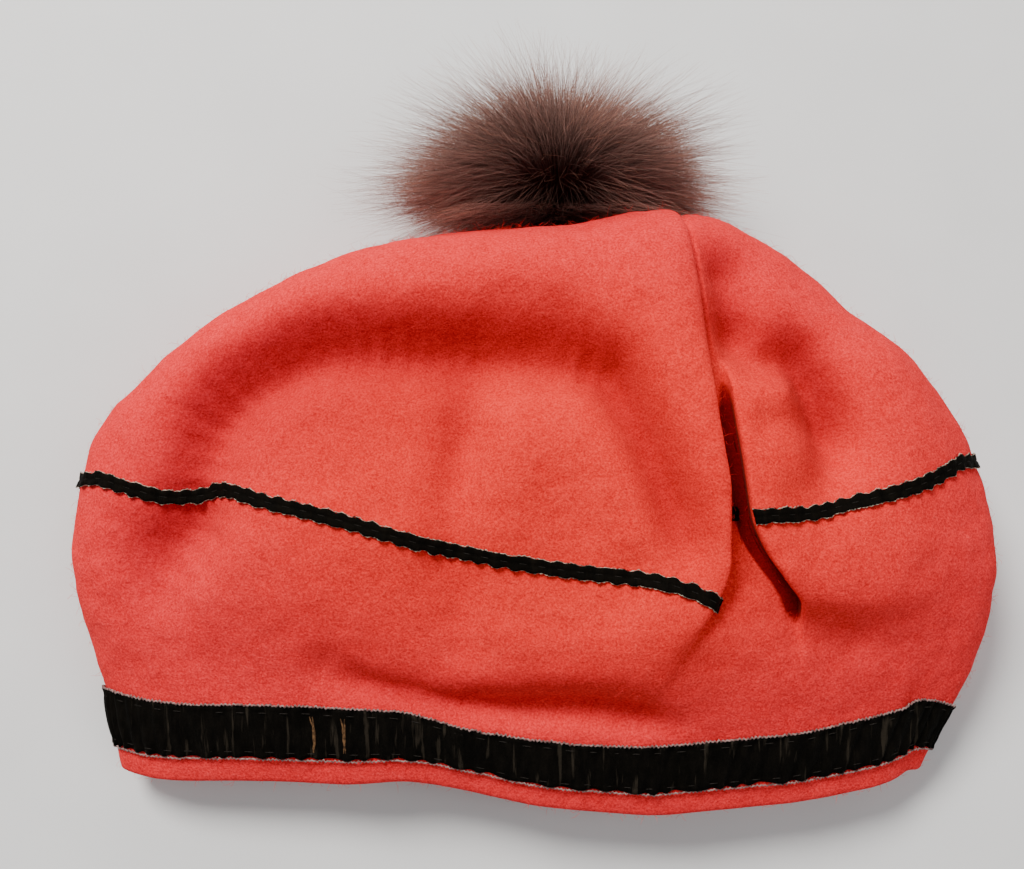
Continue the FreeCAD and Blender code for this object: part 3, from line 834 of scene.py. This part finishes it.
def picots(name, laid, side, count=0.7, reach=0.42):
    # tiny loops along one edge of the narrow ribbon
    where, spots, _, sides, outs = laid
    places = np.arange(0, where[-1], count)
    i = np.clip(np.searchsorted(where, places), 0, len(where) - 1)
    phase, uneven = ruffle(where)
    wave = np.sin(phase[i] + (0 if side > 0 else 1.9))
    half = narrow["halfWide"] + 0.26 * wave + 0.30 * uneven[i] + (-0.02 if side < 0 else -0.12)
    half = half + np.where(np.arange(len(i)) % 2 == 0, 0, reach) * rng.uniform(0.2, 1.0, len(i))
    height = np.where(outs[i][:, 2] < -0.3, 0.62, narrow["lift"] + 0.65 * (0.5 + 0.5 * wave) - 0.2)
    line = spots[i] + sides[i] * (side * half)[:, None] + outs[i] * height[:, None]
    piece = strands(name, line[None], np.full((1, len(line)), 0.17), edgeThread)
    return piece


mainRun = layRibbon(narrowRoute(), narrow["step"])
stubLine = routeOverTop(narrow["stub"], 0.5)
stubSpots = np.array([onTop((x, y, 54)) for x, y in stubLine])
mainRibbon = ribbonPiece("narrowVelvetRibbon", mainRun)
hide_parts("narrow_velvet_ribbon")
stubRun = layRibbon(stubSpots, 0.5)
ribbonPiece("narrowRibbonStub", stubRun)
for number, side in enumerate((1, -1)):
    picots("narrowPicots%d" % (number + 1), mainRun, side)
where, spots, alongs, sides, outs = mainRun
picked = np.arange(3, len(where) - 3, 7)
lifts = np.where(outs[picked][:, 2] < -0.3, 0.66, narrow["lift"] + 0.22)
narrowStitches = capsules("narrowRibbonStitches", spots[picked] + outs[picked] * lifts[:, None],
                          alongs[picked], outs[picked], 2.6, 0.22, greyThread)
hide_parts("narrow_ribbon_stitches")
print("narrow ribbon ready", round(where[-1]), "mm")


# the ribbed ribbon inside the brim

lining = {
    "upper": 88.0, "lower": 117.0, "columns": 640, "rows": 18, "depth": 3.3,
    "rib": 0.12, "ribs": 320, "thick": 0.6,
}


def liningPlace(u, v):
    away = felt["tipY"] + lining["upper"] + v * (lining["lower"] - lining["upper"])
    angle = turn * u
    return surface(away, angle, -lining["depth"] + lining["rib"] * np.sin(lining["ribs"] * angle))[0]


liningPiece = gridPiece("brimLining", lining["columns"], lining["rows"], liningPlace, grosgrain)
thicken(liningPiece, lining["thick"], 1.0)
applyModifiers(liningPiece)
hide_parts("sweatband")
spots, alongs, outs = bandRow(90.0, 79, 0.0)
liningStitches = capsules("sweatbandStitches", spots - outs * 4.0, alongs, outs, 3.0, 0.5, redThread)
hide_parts("sweatband_stitches")


# loose wool fibres that stand up from the felt

ribbonSkins = [BVHTree.FromPolygons([v.co / mm for v in piece.data.vertices],
                                    [p.vertices for p in piece.data.polygons])
               for piece in (bandPiece, mainRibbon)]
fuzz = {"count": 9000, "length": (1.2, 3.4), "radius": 0.035}


def feltFuzz():
    faces = feltPiece.data.polygons
    centres = np.array([p.center for p in faces]) / mm
    normals = np.array([p.normal for p in faces])
    areas = np.array([p.area for p in faces])
    radial = centres - np.array([0, -30, 27])
    facing = np.sum(unit(radial) * normals, axis=1) > 0.0
    areas = np.where(facing, areas, 0)
    areas = np.where(normals[:, 2] < -0.6, areas * 0.15, areas)
    clear = [min(r.find_nearest(Vector(c), 3.0)[3] or 3.0 for r in ribbonSkins) for c in centres.tolist()]
    areas = np.where(np.array(clear) < 2.6, 0, areas)
    pick = rng.choice(len(faces), fuzz["count"], p=areas / areas.sum())
    root = centres[pick] + rng.normal(0, 0.5, (fuzz["count"], 3)) - normals[pick] * 0.2
    drift = rng.normal(0, 1, (fuzz["count"], 3))
    flat = unit(drift - normals[pick] * np.sum(drift * normals[pick], axis=1, keepdims=True))
    long = rng.uniform(*fuzz["length"], fuzz["count"])[:, None]
    rise = rng.uniform(0.08, 0.55, fuzz["count"])[:, None]
    middle = root + flat * long * 0.5 + normals[pick] * long * rise
    tip = middle + unit(flat + 0.5 * rng.normal(0, 1, flat.shape)) * long * 0.5 \
        + normals[pick] * long * (rise - 0.25)
    lines = np.stack([root, middle, tip], axis=1)
    lines[:, :, 2] = np.maximum(lines[:, :, 2], 0.15)
    radii = np.full((fuzz["count"], 3), fuzz["radius"])
    radii[:, 2] *= 0.4
    piece = strands("feltFuzz", lines, radii, looseWool)


feltFuzz()
print("fuzz ready")


# the pompom

pompom = {
    "heart": (8.6, 71.0, 30.0), "reach": (69.0, 58.0, 44.0), "skin": (8.6, 83.3, 29.0), "skinRound": 13.0,
    "hairs": 25500, "guards": 7000, "points": 6, "clumps": 1100, "foot": 66.0,
    "farthest": 136.0, "highest": 84.0, "lowest": 0.4,
}


def hairColours(directions, share, guard):
    # near black at the root, brown in the middle, and russet or beige at the tip
    base = np.array([0.016, 0.0075, 0.0055])
    brown = np.array([0.200, 0.098, 0.078])
    russet = np.array([0.55, 0.17, 0.055])
    beige = np.array([0.52, 0.34, 0.25])
    patch = noiseOn(directions * 40, 17.0, 3.0)
    glint = (np.exp(-((directions[:, 0] - 0.45) / 0.3) ** 2)
             + 0.7 * np.exp(-((directions[:, 0] + 0.5) / 0.25) ** 2))
    warm = smooth(0.0, 0.7, patch + 0.4 * glint - 0.15 + rng.normal(0, 0.35, len(directions)))
    pale = (rng.random(len(directions)) < 0.25).astype(float)
    tip = brown * 2.1 + (russet - brown) * (warm * (0.85 if guard else 0.42))[:, None]
    tip = tip + (beige - tip) * (pale * (0.8 if guard else 0.45))[:, None]
    t = share[None, :, None]
    low = base + (brown - base) * smooth(0.12, 0.62, t)
    return low + (tip[:, None, :] - low) * smooth(0.62, 1.0, t)


def furLines(count, near, far, guard):
    heart, reach = np.array(pompom["heart"]), np.array(pompom["reach"])
    ways = unit(rng.normal(0, 1, (count, 3)))
    clumps = unit(rng.normal(0, 1, (pompom["clumps"], 3)))
    nearest = np.argmax(ways @ clumps.T, axis=1)
    lean = unit(ways + (0.15 if guard else 0.45) * (clumps[nearest] - ways)
                + rng.normal(0, 0.12 if guard else 0.06, ways.shape))
    over = (lean[:, 1] < 0.05) & (rng.random(count) < 0.80)         # the front hairs are brushed back over
    lean[:, 1] = np.where(over, 0.05 + 0.8 * rng.random(count) * np.abs(lean[:, 1] - 0.05), lean[:, 1])
    lean[:, 1] += 0.18 * (1 - np.abs(lean[:, 0]))
    lean[:, 2] *= 0.66
    lean = unit(lean)
    root = np.array(pompom["skin"]) + ways * pompom["skinRound"]
    long = rng.uniform(near, far, count)[:, None] * (1 - 0.35 * smooth(0, 0.8, -lean[:, 1]))[:, None]
    long = long * (1 + 0.13 * noiseOn(lean * 40, 16.0, 9.0))[:, None]
    tip = heart + lean * reach * long
    t = np.linspace(0, 1, pompom["points"])
    side = unit(np.cross(lean, rng.normal(0, 1, lean.shape)))
    bend = rng.normal(0, 3.0 if guard else 2.0, count)
    lines = root[:, None] + (tip - root)[:, None] * t[None, :, None]
    lines = lines + side[:, None] * (bend[:, None] * np.sin(math.pi * t))[:, :, None]
    arch = np.clip(lean[:, 1] - ways[:, 1], 0, 1.5) * np.clip(ways[:, 2] + 0.6, 0, 1)
    lines[:, :, 2] += arch[:, None] * rng.uniform(8, 15, count)[:, None] * np.sin(math.pi * t ** 0.7)
    curl = unit(np.cross(side, lean))
    lines = lines + curl[:, None] * (rng.normal(0, 2.6, count)[:, None] * t ** 3)[:, :, None]
    lines[:, :, 2] -= (rng.uniform(1.0, 4.0, count)[:, None] * t ** 2)
    aside = np.abs(lines[:, :, 0] - heart[0])
    edge = pompom["foot"] - 9.0 * smooth(44, 60, lines[:, :, 2]) - 0.0095 * np.maximum(aside - 22, 0) ** 2
    past = np.maximum(edge + 3 - lines[:, :, 1], 0)                   # hairs lean back from the crown
    lines[:, :, 1] += past * (0.75 + 0.35 * rng.random(count)[:, None])
    lines[:, :, 1] = np.minimum(lines[:, :, 1], pompom["farthest"])
    lines[:, :, 2] = np.clip(lines[:, :, 2], pompom["lowest"], pompom["highest"])
    shade = 0.22 + 0.78 * smooth(68, 88, lines[:, :, 1] + 0.6 * aside)
    return lines, lean, t, shade


def furPiece(name, count, near, far, guard, radius, material):
    lines, lean, t, shade = furLines(count, near, far, guard)
    radii = radius * (1 - 0.75 * t ** 2)[None] * rng.uniform(0.75, 1.2, count)[:, None]
    piece = strands(name, lines, radii, material, "pompom")
    paint(piece, hairColours(lean, t, guard) * shade[:, :, None], pompom["points"])
    return piece


def bumpyBall(name, reach, heart, bump, size, material, levels=5):
    bm = bmesh.new()
    bmesh.ops.create_icosphere(bm, subdivisions=levels, radius=1.0)
    ways = np.array([v.co for v in bm.verts])
    swell = 1 + bump * noiseOn(ways * 30, size) + 0.4 * bump * noiseOn(ways * 30, size * 0.35, 4.0)
    spots = np.array(heart) + ways * np.array(reach) * swell[:, None]
    spots[:, 1] = np.maximum(spots[:, 1], pompom["foot"] + 1.0)
    spots[:, 2] = np.maximum(spots[:, 2], 1.5)
    for v, spot in zip(bm.verts, (spots * mm).tolist()):
        v.co = spot
    return newPiece(name, finished(bm, name), material, "pompom")


undercoat = bumpyBall("undercoat", (27, 17, 14), (8.6, 83, 22), 0.10, 9.0, undercoatFur)
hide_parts("pompom_fur")
thirds = pompom["hairs"] // 3
for number, (near, far) in enumerate(((0.40, 0.78), (0.50, 0.86), (0.58, 0.96))):
    furPiece("furHair%d" % (number + 1), thirds, near, far, False, 0.066, furHair)
furPiece("furGuardHair", pompom["guards"], 0.72, 1.14, True, 0.044, furGuard)

pelt = bumpyBall("pelt", (13.6, 13.6, 13.6), pompom["skin"], 0.02, 9.0, peltSkin)
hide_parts("pompom_pelt")
wad = bumpyBall("stuffing", (12.4, 12.4, 12.4), pompom["skin"], 0.03, 9.0, wadding)
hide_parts("pompom_stuffing")
print("pompom ready")


# finishes of the pieces that keep their CAD shape

for node, material in (("pompom_button", buttonGloss), ("pompom_tie_cord", tieCord),
                       ("pompom_gather_thread", tieCord), ("pleat_tack_stitches", redThread)):
    mesh = nodes[node].data
    mesh.materials.clear()
    mesh.materials.append(material)


# floor, light and camera

stageSet = {
    "floor": (0.74, 0.73, 0.72), "air": (0.97, 0.98, 1.0), "airStrength": 0.33,
    "camera": (-6.6, -73.8, 345.4), "tip": 12.4, "lens": 35.0,
    "aim": (0, -0.02, 0.03),
    "lamps": [  # place in metres, size in metres, watts, colour
        ((-0.55, 0.78, 1.15), 0.60, 36.0, (1.0, 0.985, 0.955)),
        ((0.90, -0.30, 1.25), 1.10, 6.5, (0.97, 0.98, 1.0)),
        ((0.1, 1.2, 0.7), 0.8, 4.0, (1.0, 1.0, 1.0)),
    ],
}


def stageFloor():
    material, tree, links, shader = newMaterial("paleFloor", Roughness=0.9, Specular_IOR_Level=0.2)
    mottle = grain(tree, links, 60.0, detail=3)
    dim = tuple(0.96 * c for c in stageSet["floor"])
    colour = ramp(tree, links, mottle, [(0.35, dim), (0.65, stageSet["floor"])])
    links.new(colour, shader.inputs["Base Color"])
    bm = bmesh.new()
    bmesh.ops.create_grid(bm, x_segments=2, y_segments=2, size=3.0)
    mesh = finished(bm, "floor")
    floor = bpy.data.objects.new("floor", mesh)
    mesh.materials.append(material)
    bpy.context.scene.collection.objects.link(floor)


def stageLights():
    world = bpy.data.worlds.new("softAir")
    world.use_nodes = True
    air = world.node_tree.nodes["Background"]
    air.inputs["Color"].default_value = (*stageSet["air"], 1)
    air.inputs["Strength"].default_value = stageSet["airStrength"]
    bpy.context.scene.world = world
    for number, (place, size, watts, colour) in enumerate(stageSet["lamps"]):
        light = bpy.data.lights.new("lamp%d" % (number + 1), "AREA")
        light.shape = "DISK"
        light.size = size
        light.energy = watts
        light.color = colour
        lamp = bpy.data.objects.new(light.name, light)
        lamp.location = place
        aim = Vector(stageSet["aim"]) - Vector(place)
        lamp.rotation_euler = aim.to_track_quat("-Z", "Y").to_euler()
        bpy.context.scene.collection.objects.link(lamp)


def stageCamera():
    lens = bpy.data.cameras.new("camera")
    lens.lens = stageSet["lens"]
    lens.clip_start = 0.01
    camera = bpy.data.objects.new("camera", lens)
    camera.location = Vector(stageSet["camera"]) * mm
    camera.rotation_euler = Euler((math.radians(stageSet["tip"]), 0, 0))
    bpy.context.scene.collection.objects.link(camera)
    bpy.context.scene.camera = camera


stageFloor()
stageLights()
stageCamera()
bpy.context.view_layer.update()
